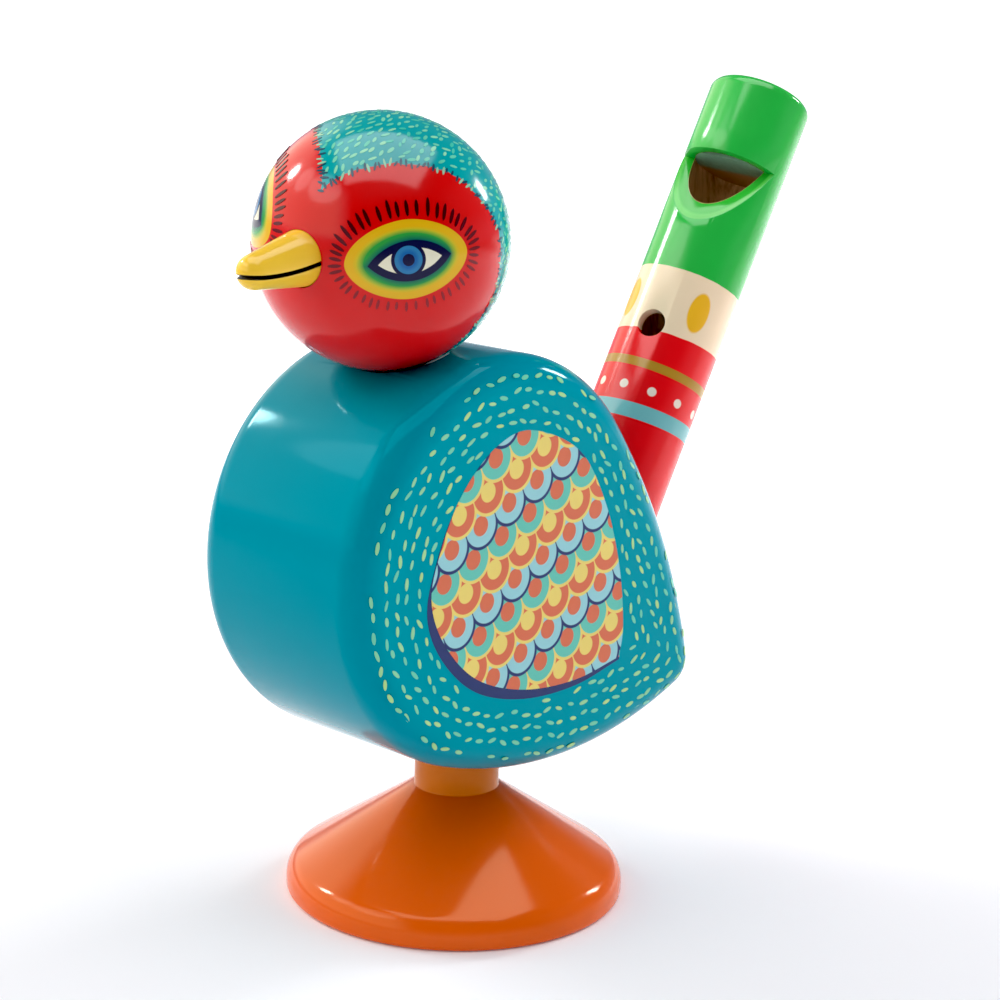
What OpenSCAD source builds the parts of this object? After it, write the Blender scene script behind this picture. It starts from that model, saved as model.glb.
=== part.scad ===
// Bird call: a lacquered wooden bird on a turned foot. Its tail is a small
// wooden whistle with one finger hole, pushed into a socket in the back.
// The bird faces -X, its left side is -Y and up is +Z.
// The origin is the centre of the foot's flat underside.

/* [Foot] */
// Diameter of the turned foot
foot_d = 60; // [52:1:70]
// Height of the foot's cone
foot_h = 19.2; // [16:0.1:22]
// Height of the centre of the rounded shoulder above the underside
foot_rim_h = 2.1; // [2:0.1:3.5]
// Radius that rolls the rim over into the cone
foot_shoulder_r = 4.5; // [2.6:0.1:4.8]
// Small radius round the edge of the underside
foot_edge_r = 1; // [0.5:0.1:1.5]
// Width of the flat ring between the cone and the neck
foot_land = 0.4; // [0.2:0.1:1]
// Diameter of the neck that is turned in one piece with the foot
neck_d = 15; // [13:0.5:18]
// Length of the neck between the cone and the body
neck_h = 8.3; // [5:0.1:11]

/* [Body] */
// Thickness of the body from side to side
body_w = 40; // [34:1:46]
// Radius of the round breast
breast_r = 35.2; // [32:0.2:38]
// Radius of the belly line that runs back to the tail tip
belly_r = 80; // [74:1:90]
// Radius of the back line that runs down to the tail tip
back_r = 122; // [110:1:135]
// Radius of the tail tip
tail_tip_r = 6.3; // [5:0.1:8]
// Distance of the tail tip's centre behind the breast's centre
tail_reach = 44.2; // [42:0.1:47]
// Distance of the tail tip's centre below the breast's centre
tail_drop = 25.6; // [24:0.1:28]
// Radius that rounds the edges of both sides
body_edge_r = 5.5; // [3:0.1:7]
// Distance of the breast's centre ahead of the foot's axis
breast_ahead = 8.3; // [5:0.1:11]

/* [Head] */
// Diameter of the ball that is the head
head_d = 42; // [36:0.5:46]
// Depth to which the ball sinks into its seat in the body
head_sink = 2; // [1.5:0.1:3]
// Angle by which the head's dowel leans forward from upright
head_lean = 13.3; // [8:0.1:20]
// Angle by which the head is turned to the bird's left
head_turned = 8; // [-20:1:20]

/* [Beak] */
// Diameter of the beak at its root
beak_d = 9.1; // [8:0.1:11]
// Distance that the beak stands out of the ball
beak_l = 12.7; // [10:0.1:16]
// Radius of the beak's blunt nose
beak_nose_r = 2.8; // [2:0.1:3.4]
// Angle by which the beak points down from level
beak_droop = 6.2; // [0:0.1:10]
// Height of the root of the beak above the middle of the ball
beak_high = 1.1; // [0:0.1:2]
// Depth of the flat seat for the beak at its edge
beak_seat = 0.3; // [0.2:0.1:0.6]
// Width of the sawn line of the mouth
mouth_cut = 0.6; // [0.4:0.1:0.8]
// Depth of the sawn line of the mouth
mouth_depth = 0.8; // [0.5:0.1:1.2]
// Depth of the mouth's lowest point below the beak's axis
mouth_low = 0.9; // [0.4:0.1:1.4]
// Distance from the ball's surface to the mouth's lowest point
mouth_low_at = 5.5; // [3:0.5:8]
// Radius of the mouth's gentle curve
mouth_bend_r = 41; // [30:1:80]

/* [Whistle] */
// Outer diameter of the whistle
whistle_d = 19.5; // [18:0.1:21]
// Whole length of the whistle
whistle_l = 111.6; // [104:0.1:120]
// Diameter of the whistle's bore
bore_d = 15.2; // [14:0.1:16]
// Length of the bore from the mouth end to its blind end
bore_l = 82; // [72:1:88]
// Angle by which the whistle leans back from upright
whistle_lean = 29.1; // [24:0.1:34]
// Place of the socket's mouth along the curve of the back, from level
socket_angle = 23.9; // [22:0.1:26]
// Depth of the whistle in its socket
socket_depth = 21.9; // [18:0.1:26]
// Angle by which the whistle is turned in its socket to the bird's left
whistle_turned = 14.5; // [0:0.5:90]
// Radius round the mouth end
mouth_end_r = 2; // [1:0.1:2.1]

/* [Window, block and finger hole] */
// Length of the block that plugs the mouth end
block_l = 15.9; // [13:0.1:19]
// Height of the windway over the flat of the block
windway_h = 1.6; // [1.2:0.1:2]
// Length of the notch, from the block's face to the end of the ramp
notch_l = 14.4; // [12:0.1:17]
// Depth of the notch at the block's face
notch_depth = 7.2; // [6:0.1:8]
// Diameter of the finger hole
finger_d = 5.3; // [4.5:0.1:6.5]
// Distance of the finger hole from the mouth end
finger_at = 51.3; // [44:0.1:58]

/* [Dowels and fits] */
// Diameter of the dowel between foot and body
foot_dowel_d = 8; // [6:1:10]
// Diameter of the dowel between head and body
neck_dowel_d = 8; // [6:1:10]
// Diameter of the peg of the beak
beak_peg_d = 5; // [4:0.5:6]
// Depth of each dowel's hole
dowel_depth = 15; // [12:0.5:17]
// Depth of the hole for the beak's peg
peg_depth = 9; // [7:0.5:11]
// Depth of the flat seat for the neck in the underside of the body
neck_seat = 0.8; // [0.6:0.1:1.2]
// Space round a glued piece
glue_gap = 0.03; // [0.01:0.01:0.05]
// Space round a piece that turns in its hole
turn_gap = 0.05; // [0.03:0.01:0.08]
// Space between the ball and its seat, and at the bottom of each hole
rest_gap = 0.3; // [0.2:0.05:0.4]

/* [Hidden] */
$fn = 96;
overrun = 5;
full_turn = 360;

// Steps of the curves
arc_steps = 12;
flank_steps = 18;
breast_steps = 60;
edge_steps = 6;
// Share of its radius that the tail tip keeps where the sides are rounded
tip_left_share = 0.15;

// Directions in the plane through the bird's middle, as [x, z]
function toward(angle) = [cos(angle), sin(angle)];
function arc(centre, r, from, to, steps) =
    [for (i = [0:steps]) centre + r * toward(from + (to - from) * i / steps)];
function bearing(from, to) = atan2(to[1] - from[1], to[0] - from[0]);
// The point at distance ra from a and rb from b, left or right of the line a to b
function meet(a, ra, b, rb, side) =
    let (gap = norm(b - a),
         along = (ra * ra - rb * rb + gap * gap) / (2 * gap),
         off = sqrt(ra * ra - along * along),
         dir = (b - a) / gap)
    a + along * dir + side * off * [-dir[1], dir[0]];

// Centres of the outline's arcs, measured from the centre of the breast
breast_c = [0, 0];
tip_c = [tail_reach, -tail_drop];
belly_c = meet(breast_c, belly_r - breast_r, tip_c, belly_r - tail_tip_r, 1);
back_c = meet(breast_c, back_r - breast_r, tip_c, back_r - tail_tip_r, -1);

// Radius and centre of the tail tip where the outline is drawn in by inset
function tip_r_at(inset) = max(tail_tip_r - inset, tail_tip_r * tip_left_share);
function tip_c_at(inset) =
    let (r = tip_r_at(inset))
    meet(belly_c, belly_r - inset - r, back_c, back_r - inset - r, 1);

// Outline of the body, drawn in by inset, from the belly round to the breast
function outline(inset) =
    let (tip = tip_c_at(inset),
         belly_from = bearing(belly_c, breast_c),
         belly_to = bearing(belly_c, tip),
         back_from = bearing(back_c, tip),
         back_to = bearing(back_c, breast_c))
    concat(
        arc(belly_c, belly_r - inset, belly_from, belly_to, flank_steps),
        arc(tip, tip_r_at(inset), belly_to, back_from, arc_steps),
        arc(back_c, back_r - inset, back_from, back_to, flank_steps),
        arc(breast_c, breast_r - inset, back_to, belly_from + full_turn, breast_steps));

// The foot's axis meets the belly line at this height below the breast's centre
belly_drop = sqrt(pow(belly_r, 2) - pow(breast_ahead - belly_c[0], 2)) - belly_c[1];
neck_top = foot_h + neck_h;
body_at = [-breast_ahead, neck_top - neck_seat + belly_drop];

// Head: its ball rests on the breast's arc, along the dowel's axis
head_r = head_d / 2;
head_up = [-sin(head_lean), cos(head_lean)];
seat_top = body_at + breast_r * head_up;
head_c = seat_top + (head_r - head_sink) * head_up;

// Whistle: its axis crosses the back's arc at the socket's mouth
whistle_up = [sin(whistle_lean), cos(whistle_lean)];
socket_mouth = body_at + back_c + back_r * toward(socket_angle);
whistle_foot = socket_mouth - socket_depth * whistle_up;
whistle_r = whistle_d / 2;
bore_r = bore_d / 2;
block_at = whistle_l - block_l;
ramp_angle = atan(notch_depth / notch_l);

// Beak: a blunt nose on a slowly narrowing turned body
beak_r = beak_d / 2;
beak_end = head_r + beak_l;
// Distance from the middle of the ball to the beak's flat seat
beak_root = sqrt(pow(head_r, 2) - pow(beak_r + beak_high, 2)) - beak_seat;
beak_nose_at = beak_end - beak_nose_r;

// Move from the whistle's own frame, with its axis up, into the bird
module in_whistle() {
    translate([whistle_foot[0], 0, whistle_foot[1]])
        rotate([0, whistle_lean, 0])
            children();
}

// Move from the head's own frame, with the dowel's axis up, into the bird
module in_head() {
    translate([head_c[0], 0, head_c[1]])
        rotate([0, -head_lean, 0])
            children();
}

// The head's face: beak along +X of this frame, turned on the dowel
module in_beak() {
    in_head()
        rotate([0, 0, 180 + head_turned])
            rotate([0, beak_droop - head_lean, 0])
                translate([0, 0, beak_high])
                    children();
}

// A rod with a small chamfer at both ends, from the origin up
module rod(d, l) {
    chamfer = d / 10;
    rotate_extrude()
        polygon([[0, 0], [d / 2 - chamfer, 0], [d / 2, chamfer],
                 [d / 2, l - chamfer], [d / 2 - chamfer, l], [0, l]]);
}

module foot() {
    foot_r = foot_d / 2;
    neck_r = neck_d / 2;
    shoulder_c = [foot_r - foot_shoulder_r, foot_rim_h];
    cone_top = [neck_r + foot_land, foot_h];
    // The cone's straight flank leaves the shoulder where it is tangent to it
    flank = bearing(shoulder_c, cone_top)
          - acos(foot_shoulder_r / norm(cone_top - shoulder_c));
    profile = concat(
        [[0, 0]],
        arc([foot_r - foot_edge_r, foot_edge_r], foot_edge_r, -90, 0, arc_steps),
        arc(shoulder_c, foot_shoulder_r, 0, flank, arc_steps),
        [cone_top, [neck_r, foot_h], [neck_r, neck_top], [0, neck_top]]);
    color("darkorange")
        difference() {
            rotate_extrude() polygon(profile);
            translate([0, 0, neck_top - dowel_depth])
                cylinder(d = foot_dowel_d + 2 * glue_gap, h = dowel_depth + overrun);
        }
}

module foot_dowel() {
    color("burlywood")
        translate([0, 0, neck_top - dowel_depth + rest_gap])
            rod(foot_dowel_d, 2 * (dowel_depth - rest_gap));
}

// The body's rounded slab: the outline lofted from one side to the other
module body_slab() {
    side_rings = [for (i = [0:edge_steps])
        let (turn = 90 * i / edge_steps)
        [body_edge_r * (1 - cos(turn)), body_w / 2 - body_edge_r * (1 - sin(turn))]];
    rings = concat(
        [for (i = [edge_steps:-1:0]) [side_rings[i][0], -side_rings[i][1]]],
        side_rings);
    loops = [for (ring = rings)
        [for (p = outline(ring[0])) [body_at[0] + p[0], ring[1], body_at[1] + p[1]]]];
    count = len(loops[0]);
    last = len(loops) - 1;
    polyhedron(
        points = [for (loop = loops) each loop],
        faces = concat(
            [[for (i = [count - 1:-1:0]) i]],
            [for (j = [0:last - 1], i = [0:count - 1])
                [j * count + i, j * count + (i + 1) % count,
                 (j + 1) * count + (i + 1) % count, (j + 1) * count + i]],
            [[for (i = [0:count - 1]) last * count + i]]));
}

module body_block() {
    color("darkturquoise")
        difference() {
            body_slab();
            // Seat and hole for the foot
            translate([0, 0, neck_top - overrun])
                cylinder(d = neck_d + 2 * glue_gap, h = overrun);
            translate([0, 0, neck_top - overrun])
                cylinder(d = foot_dowel_d + 2 * glue_gap, h = dowel_depth + overrun);
            // Dished seat and hole for the head
            translate([head_c[0], 0, head_c[1]])
                sphere(r = head_r + rest_gap);
            in_head()
                translate([0, 0, -head_r - dowel_depth])
                    cylinder(d = neck_dowel_d + 2 * turn_gap, h = dowel_depth + overrun);
            // Socket for the whistle
            in_whistle()
                translate([0, 0, -rest_gap])
                    cylinder(d = whistle_d + 2 * turn_gap, h = whistle_l);
        }
}

module neck_dowel() {
    color("burlywood")
        in_head()
            translate([0, 0, -head_r - dowel_depth + rest_gap])
                rod(neck_dowel_d, 2 * (dowel_depth - rest_gap));
}

module head_ball() {
    color("red")
        difference() {
            translate([head_c[0], 0, head_c[1]])
                sphere(r = head_r);
            in_head()
                translate([0, 0, -head_r - overrun])
                    cylinder(d = neck_dowel_d + 2 * glue_gap, h = dowel_depth + overrun);
            in_beak()
                rotate([0, 90, 0]) {
                    translate([0, 0, head_r - peg_depth])
                        cylinder(d = beak_peg_d + 2 * glue_gap, h = peg_depth + overrun);
                    translate([0, 0, beak_root])
                        cylinder(d = beak_d + 2 * glue_gap, h = peg_depth + overrun);
                }
        }
}

// The beak's turned body, drawn in by inset, with its axis along X
module beak_form(inset) {
    nose_c = [beak_nose_at, 0];
    nose_r = beak_nose_r - inset;
    root = [beak_root, beak_r - inset];
    // The flank leaves the nose where it is tangent to it
    flank = bearing(nose_c, root) - acos(nose_r / norm(root - nose_c));
    profile = concat([[beak_root, 0]], arc(nose_c, nose_r, 0, flank, arc_steps), [root]);
    rotate([0, 90, 0])
        rotate_extrude()
            polygon([for (p = profile) [p[1], p[0]]]);
}

module beak() {
    color("gold")
        in_beak()
            difference() {
                union() {
                    beak_form(0);
                    rotate([0, 90, 0])
                        translate([0, 0, head_r - peg_depth + rest_gap])
                            cylinder(d = beak_peg_d, h = peg_depth);
                }
                mouth_line();
            }
}

// The sawn line round the front of the beak, gently curved
module mouth_line() {
    middle = [head_r + mouth_low_at, mouth_bend_r - mouth_low];
    from = -90 - asin(mouth_low_at / mouth_bend_r);
    to = -90 + asin((beak_l - mouth_low_at + overrun) / mouth_bend_r);
    difference() {
        rotate([90, 0, 0])
            linear_extrude(height = 2 * beak_d, center = true)
                polygon(concat(
                    arc(middle, mouth_bend_r + mouth_cut / 2, from, to, arc_steps),
                    arc(middle, mouth_bend_r - mouth_cut / 2, to, from, arc_steps)));
        beak_form(mouth_depth);
    }
}

module whistle_tube() {
    profile = concat(
        [[0, 0], [whistle_r - foot_edge_r / 2, 0], [whistle_r, foot_edge_r / 2]],
        arc([whistle_r - mouth_end_r, whistle_l - mouth_end_r], mouth_end_r, 0, 90, arc_steps),
        [[0, whistle_l]]);
    color("limegreen")
        in_whistle()
            rotate([0, 0, 180 + whistle_turned])
                difference() {
                    rotate_extrude() polygon(profile);
                    translate([0, 0, whistle_l - bore_l])
                        cylinder(d = bore_d, h = bore_l + overrun);
                    notch();
                    translate([0, 0, whistle_l - finger_at])
                        rotate([0, 90, 0])
                            cylinder(d = finger_d, h = whistle_d);
                }
}

// The notch: a square cut at the block's face and a ramp that slopes up to it
module notch() {
    rotate([90, 0, 0])
        linear_extrude(height = whistle_d + overrun, center = true)
            polygon([[whistle_r - notch_depth, block_at],
                     [whistle_r + overrun, block_at],
                     [whistle_r + overrun, block_at - notch_l - overrun / tan(ramp_angle)]]);
}

module fipple_block() {
    color("olivedrab")
        in_whistle()
            rotate([0, 0, 180 + whistle_turned])
                translate([0, 0, block_at])
                    difference() {
                        cylinder(r = bore_r - glue_gap, h = block_l);
                        translate([bore_r - windway_h, -bore_d, -overrun])
                            cube([bore_d, 2 * bore_d, block_l + 2 * overrun]);
                    }
}

foot();
foot_dowel();
body_block();
neck_dowel();
head_ball();
beak();
whistle_tube();
fipple_block();
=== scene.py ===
import random
from math import acos, asin, atan2, cos, degrees, hypot, pi, radians, sin, sqrt

import bmesh
import bpy
from mathutils import Euler, Matrix, Vector


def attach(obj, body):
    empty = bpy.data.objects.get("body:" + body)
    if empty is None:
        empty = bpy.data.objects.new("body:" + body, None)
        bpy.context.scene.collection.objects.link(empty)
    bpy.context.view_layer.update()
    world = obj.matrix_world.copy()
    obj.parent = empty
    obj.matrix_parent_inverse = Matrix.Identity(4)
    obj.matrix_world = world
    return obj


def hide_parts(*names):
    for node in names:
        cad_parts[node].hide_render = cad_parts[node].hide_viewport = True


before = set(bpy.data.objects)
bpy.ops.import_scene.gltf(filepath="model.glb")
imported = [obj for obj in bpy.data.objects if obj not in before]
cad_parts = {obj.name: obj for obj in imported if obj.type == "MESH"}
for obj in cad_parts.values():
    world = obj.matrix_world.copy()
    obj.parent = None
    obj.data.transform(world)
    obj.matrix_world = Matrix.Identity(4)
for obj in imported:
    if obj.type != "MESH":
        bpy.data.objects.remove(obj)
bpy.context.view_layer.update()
print("frame loaded")

mm = 0.001
up = Vector((0, 0, 1))


def srgb(red, green, blue):
    # a colour as a paint chart gives it, turned to the renderer's own scale
    shares = [value / 255 for value in (red, green, blue)]
    return (*(v / 12.92 if v <= 0.04045 else ((v + 0.055) / 1.055) ** 2.4 for v in shares), 1.0)


def paint(piece, material):
    piece.data.materials.clear()
    piece.data.materials.append(material)


def newObject(name, data, material=None):
    piece = bpy.data.objects.new(name, data)
    bpy.context.scene.collection.objects.link(piece)
    if material:
        paint(piece, material)
    return piece


# flat geometry in the plane through the bird's middle, as (x, z) in mm

def toward(angle):
    return Vector((cos(radians(angle)), sin(radians(angle))))


def bearing(start, end):
    return degrees(atan2(end[1] - start[1], end[0] - start[0]))


def arc(centre, radius, start, end, steps):
    return [Vector(centre) + radius * toward(start + (end - start) * i / steps)
            for i in range(steps + 1)]


def meet(a, radiusA, b, radiusB, side):
    # the point at radiusA from a and radiusB from b, left or right of the line a to b
    gap = (b - a).length
    along = (radiusA ** 2 - radiusB ** 2 + gap ** 2) / (2 * gap)
    off = sqrt(radiusA ** 2 - along ** 2)
    step = (b - a) / gap
    return a + along * step + side * off * Vector((-step[1], step[0]))


def leaning(angle):
    # upwards in space, leaning back by an angle
    return Vector((sin(radians(angle)), 0, cos(radians(angle))))


def outOf(point, y=0):
    # from the flat plane into space
    return Vector((point[0], y, point[1]))


def direction(azimuth, height):
    a, h = radians(azimuth), radians(height)
    return Vector((cos(h) * cos(a), cos(h) * sin(a), sin(h)))


def spun(a, b, angle):
    # two numbers, vectors or signals at right angles, seen from a frame turned by an angle
    turn = radians(angle)
    return a * cos(turn) + b * sin(turn), b * cos(turn) - a * sin(turn)


# camera first, where the photographer stood
cameraPlace = {
    "azimuth": -46.9, "elevation": 13.27, "roll": 1.7,  # degrees
    "distance": 404.5, "aim": (9.2, 0.0, 69.4),  # mm
    "lens": 82.8, "sensor": 36, "clip": (0.01, 50),  # mm, mm and m
}


def addCamera(place):
    back = direction(place["azimuth"] - 90, place["elevation"])
    right = direction(place["azimuth"], 0)
    right, top = spun(right, back.cross(right), place["roll"])
    turn = Matrix((right, top, back)).transposed().to_4x4()
    data = bpy.data.cameras.new("camera")
    data.lens = place["lens"]
    data.sensor_width = place["sensor"]
    data.clip_start, data.clip_end = place["clip"]
    camera = newObject("camera", data)
    spot = (Vector(place["aim"]) + back * place["distance"]) * mm
    camera.matrix_world = Matrix.Translation(spot) @ turn
    bpy.context.scene.camera = camera


addCamera(cameraPlace)
print("camera set")


# node trees, for paint and for shapes

def bothWays(operation):
    # an operator, and the same with a plain number before it
    return (lambda self, other: self.graph.sum(operation, self, other),
            lambda self, other: self.graph.sum(operation, other, self))


class Signal:
    # what comes out of a node, so that plain sums can be written with it
    __add__, __radd__ = bothWays("ADD")
    __sub__, __rsub__ = bothWays("SUBTRACT")
    __mul__, __rmul__ = bothWays("MULTIPLY")
    __truediv__, __rtruediv__ = bothWays("DIVIDE")
    __pow__, __rpow__ = bothWays("POWER")
    __mod__, __rmod__ = bothWays("FLOORED_MODULO")

    def __init__(self, graph, socket):
        self.graph = graph
        self.socket = socket

    def math(self, operation, *others, clamp=False):
        return self.graph.sum(operation, self, *others, clamp=clamp)

    def __neg__(self):
        return self.math("MULTIPLY", -1)

    def __abs__(self):
        return self.math("ABSOLUTE")

    def under(self, edge, soft=0.06):
        # 1 where the value lies below the edge, with a soft step
        return (self * (-1 / soft) + (edge / soft + 0.5)).math("ADD", 0, clamp=True)

    def over(self, edge, soft=0.06):
        return (self * (1 / soft) + (0.5 - edge / soft)).math("ADD", 0, clamp=True)

    def parts(self):
        split = self.graph.node("ShaderNodeSeparateXYZ", {0: self}).socket.node
        return [Signal(self.graph, socket) for socket in split.outputs]


def hypotenuse(a, b):
    return (a * a + b * b).math("SQRT")


class Graph:
    def __init__(self, tree):
        self.tree = tree
        tree.nodes.clear()

    def feed(self, socket, value):
        if isinstance(value, Signal):
            self.tree.links.new(value.socket, socket)
        else:
            socket.default_value = value

    def node(self, kind, values=None, output=0, **settings):
        node = self.tree.nodes.new(kind)
        for key, value in settings.items():
            setattr(node, key, value)
        for key, value in (values or {}).items():
            self.feed(node.inputs[key], value)
        return Signal(self, node.outputs[output] if node.outputs else None)

    def sum(self, operation, *values, clamp=False):
        return self.node("ShaderNodeMath", dict(enumerate(values)), operation=operation, use_clamp=clamp)

    def mix(self, under, over, mask):
        return self.node("ShaderNodeMix", {0: mask, 6: under, 7: over}, 2, data_type="RGBA")

    def layers(self, color, *coats):
        # coats of paint over a colour, each with the mask of where it lies
        for coat, mask in coats:
            color = self.mix(color, coat, mask)
        return color


class Finish(Graph):
    # a material, with the sockets of its surface at hand
    def __init__(self, name):
        self.material = bpy.data.materials.new(name)
        self.material.use_nodes = True
        super().__init__(self.material.node_tree)
        surface = self.node("ShaderNodeBsdfPrincipled")
        self.node("ShaderNodeOutputMaterial", {0: surface})
        self.surface = surface.socket.node.inputs

    def done(self, values):
        for key, value in values.items():
            self.feed(self.surface[key], value)
        return self.material

    def place(self):
        return self.node("ShaderNodeTexCoord", output=3)

    def local(self, centre=(0, 0, 0), turn=(0, 0, 0)):
        # object coordinates in millimetres, from a centre and a turned frame
        return self.node("ShaderNodeMapping", {
            "Vector": self.place(), "Location": centre, "Rotation": turn, "Scale": (mm, mm, mm),
        }, vector_type="TEXTURE").parts()

    def noise(self, scale, detail=3.0, rough=0.5, along=None):
        # along is under 1 for long grain
        place = self.place()
        if along:
            place = self.node("ShaderNodeVectorMath", {0: place, 1: (1.0, 1.0, along)}, operation="MULTIPLY")
        return self.node("ShaderNodeTexNoise",
                         {"Vector": place, "Scale": scale, "Detail": detail, "Roughness": rough})

    def curve(self, points, value):
        # the line through the points, read at a value
        result = self.node("ShaderNodeFloatCurve", {"Value": value})
        mapping = result.socket.node.mapping
        curve = mapping.curves[0]
        while len(curve.points) < len(points):
            curve.points.new(0.5, 0.5)
        for point, place in zip(curve.points, points):
            point.location = place
            point.handle_type = "VECTOR"
        mapping.update()
        return result

    def shade(self, color, value):
        return self.node("ShaderNodeHueSaturation", {"Value": value, "Color": color})

    def bump(self, strength, depth, height):
        return self.node("ShaderNodeBump", {"Strength": strength, "Distance": depth * mm, "Height": height})

    def lacquer(self, color, gloss):
        # paint under clear lacquer: slightly uneven in depth, gloss and level
        depth = (self.noise(gloss["cloudScale"], 2.0) - 0.5) * gloss["cloudDepth"] + 1.0
        haze = self.noise(gloss["hazeScale"], 4.0)
        ripple = self.noise(gloss["rippleScale"], 1.0)
        level = ripple * gloss["rippleShare"] + self.noise(gloss["peelScale"], 2.0)
        return self.done({
            "Base Color": self.shade(color, depth),
            "Roughness": haze * gloss["hazeSpread"] + gloss["rough"],
            "Normal": self.bump(gloss["peelStrength"], gloss["peelDepth"], level),
            "IOR": gloss["ior"], "Specular IOR Level": gloss["shine"], "Specular Tint": gloss["tint"],
        })


lacquerGloss = {
    "cloudScale": 38.0, "cloudDepth": 0.10,
    "hazeScale": 160.0, "hazeSpread": 0.08, "rough": 0.09,
    "peelScale": 900.0, "rippleScale": 120.0, "rippleShare": 2.5,
    "peelStrength": 0.12, "peelDepth": 0.05,  # the depth in mm
    "ior": 1.45, "shine": 0.45, "tint": (1, 1, 1, 1),
}
deepGloss = {**lacquerGloss, "shine": 0.2, "tint": (0, 0.85, 1, 1), "rough": 0.05}  # the teal stays deep
footGloss = {**lacquerGloss, "tint": (1, 0.8, 0.55, 1)}
tubeGloss = {**lacquerGloss, "shine": 0.62, "rough": 0.12}


class Shaper(Graph):
    # a Geometry Nodes tree with named inputs
    def __init__(self, name, inputs):
        self.group = bpy.data.node_groups.new(name, "GeometryNodeTree")
        super().__init__(self.group)
        face = self.group.interface
        face.new_socket("Geometry", in_out="INPUT", socket_type="NodeSocketGeometry")
        self.identifiers = {}
        for key, (kind, value) in inputs.items():
            socket = face.new_socket(key, in_out="INPUT", socket_type=kind)
            socket.default_value = value
            self.identifiers[key] = socket.identifier
        face.new_socket("Geometry", in_out="OUTPUT", socket_type="NodeSocketGeometry")
        self.start = self.node("NodeGroupInput").socket.node

    def given(self, key):
        return Signal(self, self.start.outputs[key])

    def close(self, geometry):
        real = self.node("GeometryNodeRealizeInstances", {"Geometry": geometry})
        self.node("NodeGroupOutput", {0: real})

    def use(self, piece, values):
        # the inputs are set before the piece is first evaluated
        modifier = piece.modifiers.new(self.group.name, "NODES")
        modifier.node_group = self.group
        for key, value in values.items():
            modifier[self.identifiers[key]] = value
        return settle(piece)


# mesh helpers

def dress(piece, material, smoothAngle=32):
    # clean normals, smooth shading up to an angle, and its paint
    mesh, shape = piece.data, bmesh.new()
    shape.from_mesh(mesh)
    bmesh.ops.remove_doubles(shape, verts=shape.verts, dist=1e-7)
    bmesh.ops.recalc_face_normals(shape, faces=shape.faces)
    shape.to_mesh(mesh)
    shape.free()
    mesh.shade_smooth()
    mesh.set_sharp_from_angle(angle=radians(smoothAngle))
    paint(piece, material)
    return piece


def fromShape(name, shape, material=None):
    mesh = bpy.data.meshes.new(name)
    shape.to_mesh(mesh)
    shape.free()
    return newObject(name, mesh, material)


def loft(name, loops, material=None):
    # a closed solid through loops of as many points each, in mm
    shape = bmesh.new()
    rows = [[shape.verts.new([c * mm for c in point]) for point in loop] for loop in loops]
    shape.faces.new(rows[0])
    shape.faces.new(rows[-1])
    for near, far in zip(rows, rows[1:]):
        for i in range(len(near)):
            shape.faces.new((near[i - 1], near[i], far[i], far[i - 1]))
    bmesh.ops.recalc_face_normals(shape, faces=shape.faces)
    return fromShape(name, shape, material)


def settle(piece):
    # apply what its modifiers do, and leave a plain mesh
    bpy.context.view_layer.update()
    graph = bpy.context.evaluated_depsgraph_get()
    result = bpy.data.meshes.new_from_object(piece.evaluated_get(graph))
    piece.modifiers.clear()
    old = piece.data
    piece.data = result
    bpy.data.meshes.remove(old)
    return piece


def carve(piece, cutters):
    for cutter in cutters:
        cut = piece.modifiers.new("cut", "BOOLEAN")
        cut.operation = "DIFFERENCE"
        cut.solver = "EXACT"
        cut.object = cutter
    settle(piece)
    for cutter in cutters:
        bpy.data.meshes.remove(cutter.data)  # the object goes with it
    return piece


def standing(spot, way):
    # at a spot, with the thing's own Z along a direction
    return Matrix.Translation(spot) @ way.to_track_quat("Z", "Y").to_matrix().to_4x4()


def rodCutter(start, axis, diameter, length, segments=64):
    # a plain cylinder from start along axis, in mm
    shape = bmesh.new()
    bmesh.ops.create_cone(shape, cap_ends=True, segments=segments, radius1=diameter / 2,
                          radius2=diameter / 2, depth=length)
    axis = Vector(axis).normalized()
    place = standing(Vector(start) + axis * length / 2, axis)
    bmesh.ops.transform(shape, matrix=Matrix.Scale(mm, 4) @ place, verts=shape.verts)
    return fromShape("cutter", shape)


def ball(name, centre, radius, subdivisions):
    shape = bmesh.new()
    bmesh.ops.create_icosphere(shape, subdivisions=subdivisions, radius=radius * mm)
    bmesh.ops.translate(shape, vec=centre * mm, verts=shape.verts)
    return fromShape(name, shape)


# turned pieces and brush strokes, by Geometry Nodes

def turningTree():
    # a lathe: every point of the profile (radius in x, height in z) becomes a ring
    tree = Shaper("turning", {"Segments": ("NodeSocketInt", 96)})
    profile = tree.given("Geometry")
    segments = tree.given("Segments")
    rings = tree.node("GeometryNodeAttributeDomainSize", {"Geometry": profile}, "Point Count")
    grid = tree.node("GeometryNodeMeshGrid",
                     {"Size X": 1.0, "Size Y": 1.0, "Vertices X": segments + 1, "Vertices Y": rings}, "Mesh")
    index = tree.node("GeometryNodeInputIndex")
    place = tree.node("GeometryNodeInputPosition")
    point = tree.node("GeometryNodeSampleIndex", {"Geometry": profile, "Value": place, "Index": index % rings},
                      "Value", data_type="FLOAT_VECTOR", domain="POINT")
    radius, _, height = point.parts()
    turn = (index / rings).math("FLOOR") / segments * (2 * pi)
    across, deep = radius * turn.math("COSINE"), radius * turn.math("SINE")
    spot = tree.node("ShaderNodeCombineXYZ", {0: across, 1: deep, 2: height})
    placed = tree.node("GeometryNodeSetPosition", {"Geometry": grid, "Position": spot})
    tree.close(tree.node("GeometryNodeMergeByDistance", {"Geometry": placed, "Distance": 1e-7}))
    return tree


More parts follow.
